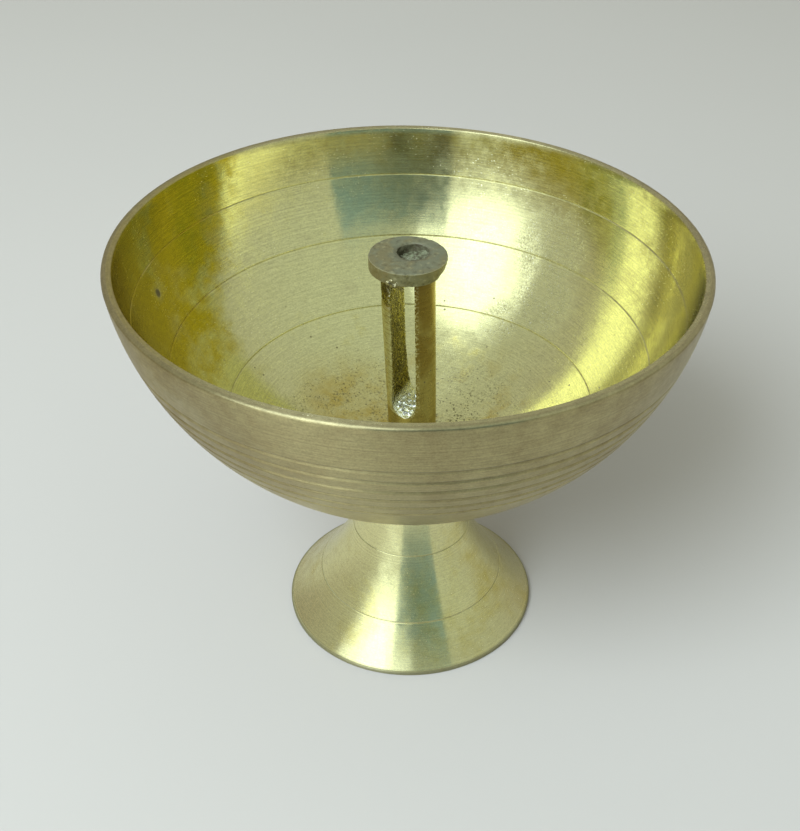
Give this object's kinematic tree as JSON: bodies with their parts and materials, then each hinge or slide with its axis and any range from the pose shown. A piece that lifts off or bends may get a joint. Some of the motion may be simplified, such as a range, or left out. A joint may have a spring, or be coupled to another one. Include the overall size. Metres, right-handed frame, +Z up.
{
  "type": "butter lamp",
  "caption": "Turned brass bowl on a hollow flared foot, with a central slotted wick holder that unscrews to take the wick.",
  "frame": {"origin": "middle of the foot's resting edge, on the surface the lamp stands on", "axes": "+Z up along the axis of the bowl, foot and wick holder; -Y towards the side the picture shows"},
  "size_m": [0.0998, 0.0998, 0.0765],
  "materials": {
    "foot_brass": "turned satin",
    "stud_brass": "cut thread",
    "bowl_brass": "turned satin, tarnished inside",
    "washer_leather": "oiled",
    "post_brass": "turned outside, rough as cast in the slot",
    "disc_brass": "heat tarnished"
  },
  "bodies": {
    "lamp_base": {"foot": "foot_brass", "stud": "stud_brass", "bowl": "bowl_brass"},
    "seal": {"seal_washer": "washer_leather"},
    "wick_holder": {"wick_post": "post_brass", "wick_disc": "disc_brass"}
  },
  "joints": [
    {"name": "holder_lift", "type": "slide", "parent": "lamp_base", "child": "seal", "axis": [0, 0, 1], "range_m": [0, 0.0081]},
    {"name": "holder_turn", "type": "hinge", "parent": "seal", "child": "wick_holder", "pos_m": [0, 0, 0.035], "axis": [0, 0, 1], "range_deg": [0, 2880]}
  ],
  "couplings": [
    {"joint": "holder_lift", "follows": "holder_turn", "m_per_rad": 0.00015915}
  ]
}
